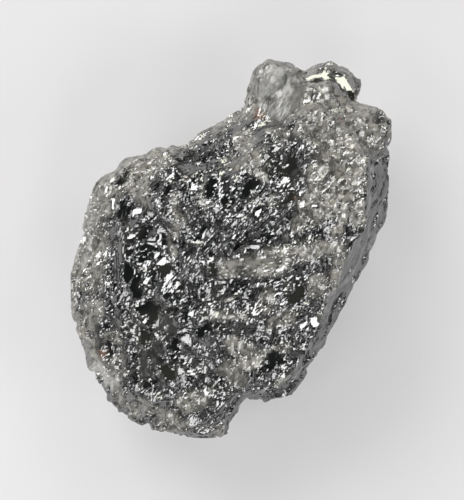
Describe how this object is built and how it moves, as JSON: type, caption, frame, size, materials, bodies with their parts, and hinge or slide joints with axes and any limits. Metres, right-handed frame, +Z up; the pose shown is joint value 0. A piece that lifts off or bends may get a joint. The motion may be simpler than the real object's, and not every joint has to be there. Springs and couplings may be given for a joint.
{
  "type": "rough diamond",
  "caption": "Natural rough diamond: a blocky, resorbed crystal with a glittering etched top, a steep side wall and rounded nodules at one end. It rests on a small flat.",
  "frame": {"origin": "middle of the bounding box in plan, at the level of the flat that the stone rests on", "axes": "+Z up, away from the flat; +Y along the stone towards the nodules; +X towards the steep wall"},
  "size_m": [0.0086, 0.01, 0.0061],
  "materials": {
    "diamond": "smoky grey, translucent, with a finely etched surface and a hard, glassy glitter"
  },
  "bodies": {
    "root": {"rough_diamond": "diamond"}
  },
  "joints": []
}
